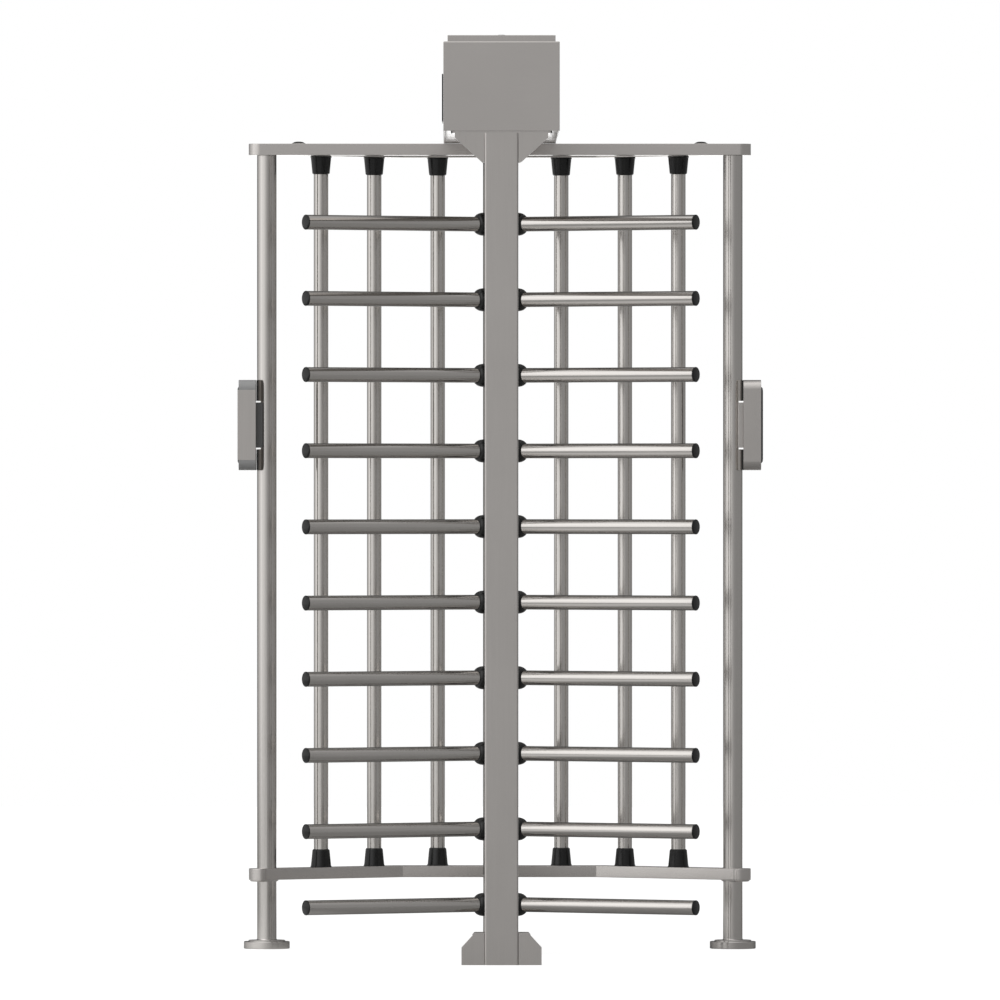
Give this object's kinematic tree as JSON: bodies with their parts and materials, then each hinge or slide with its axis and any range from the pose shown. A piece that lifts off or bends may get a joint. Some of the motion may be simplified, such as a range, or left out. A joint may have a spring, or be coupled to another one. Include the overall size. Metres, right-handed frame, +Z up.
{
  "type": "full height turnstile",
  "caption": "Full height turnstile: a column with three wings of horizontal bars turns between a bowed fence of upright tubes and a front post, under a long head box.",
  "frame": {"origin": "on the floor on the rotor's axis, at the middle of the floor pivot's underside", "axes": "+Z up along the rotor's axis, +Y from the front post towards the bowed fence, +X to the right for someone who faces the front post"},
  "size_m": [1.3766, 1.437, 2.352],
  "materials": {
    "brushed_steel": "satin stainless sheet and square tube, with a fine vertical grain",
    "polished_tube": "polished stainless round tube",
    "black_plastic": "black moulded plastic, slightly glossy",
    "dark_screen": "dark tinted window, glossy",
    "cast_metal": "satin die cast metal",
    "zinc_plate": "zinc plated steel",
    "hard_steel": "hardened machined steel"
  },
  "bodies": {
    "frame": {"floor_pivot": "brushed_steel", "left_side_post": "polished_tube", "right_side_post": "polished_tube", "top_frame": "brushed_steel", "lower_rail": "brushed_steel", "left_fence_tube_1": "polished_tube", "left_fence_tube_2": "polished_tube", "left_fence_tube_3": "polished_tube", "right_fence_tube_1": "polished_tube", "right_fence_tube_2": "polished_tube", "right_fence_tube_3": "polished_tube", "front_post": "brushed_steel", "front_post_shoe": "brushed_steel", "head_bracket": "brushed_steel", "head_housing": "brushed_steel", "left_direction_panel": "dark_screen", "right_direction_panel": "dark_screen", "left_reader_saddle": "cast_metal", "right_reader_saddle": "cast_metal", "left_reader_housing": "cast_metal", "right_reader_housing": "cast_metal", "left_reader_screen": "dark_screen", "right_reader_screen": "dark_screen", "mechanism_deck": "zinc_plate"},
    "rotor": {"rotor_column": "brushed_steel", "index_wheel": "hard_steel", "rear_wing_bar_01": "polished_tube", "rear_wing_bar_02": "polished_tube", "rear_wing_bar_03": "polished_tube", "rear_wing_bar_04": "polished_tube", "rear_wing_bar_05": "polished_tube", "rear_wing_bar_06": "polished_tube", "rear_wing_bar_07": "polished_tube", "rear_wing_bar_08": "polished_tube", "rear_wing_bar_09": "polished_tube", "rear_wing_bar_10": "polished_tube", "left_wing_bar_01": "polished_tube", "left_wing_bar_02": "polished_tube", "left_wing_bar_03": "polished_tube", "left_wing_bar_04": "polished_tube", "left_wing_bar_05": "polished_tube", "left_wing_bar_06": "polished_tube", "left_wing_bar_07": "polished_tube", "left_wing_bar_08": "polished_tube", "left_wing_bar_09": "polished_tube", "left_wing_bar_10": "polished_tube", "right_wing_bar_01": "polished_tube", "right_wing_bar_02": "polished_tube", "right_wing_bar_03": "polished_tube", "right_wing_bar_04": "polished_tube", "right_wing_bar_05": "polished_tube", "right_wing_bar_06": "polished_tube", "right_wing_bar_07": "polished_tube", "right_wing_bar_08": "polished_tube", "right_wing_bar_09": "polished_tube", "right_wing_bar_10": "polished_tube"},
    "lid": {"head_lid": "brushed_steel"},
    "lock": {"lid_lock": "hard_steel"},
    "left_pawl_lever": {"left_pawl": "hard_steel"},
    "right_pawl_lever": {"right_pawl": "hard_steel"}
  },
  "joints": [
    {"name": "rotor_spin", "type": "hinge", "parent": "frame", "child": "rotor", "pos_m": [0, 0, 0], "axis": [0, 0, 1], "continuous": true},
    {"name": "left_pawl_swing", "type": "hinge", "parent": "frame", "child": "left_pawl_lever", "pos_m": [-0.07, -0.08, 2.153], "axis": [0, 0, -1], "range_deg": [0, 10]},
    {"name": "right_pawl_swing", "type": "hinge", "parent": "frame", "child": "right_pawl_lever", "pos_m": [0.07, -0.08, 2.153], "axis": [0, 0, 1], "range_deg": [0, 10]},
    {"name": "lid_hinge", "type": "hinge", "parent": "frame", "child": "lid", "pos_m": [0, 0.4335, 2.3383], "axis": [-1, 0, 0], "range_deg": [0, 65]},
    {"name": "lid_lock_turn", "type": "hinge", "parent": "lid", "child": "lock", "pos_m": [0, -0.7, 2.35], "axis": [0, 0, 1], "range_deg": [0, 90]}
  ]
}
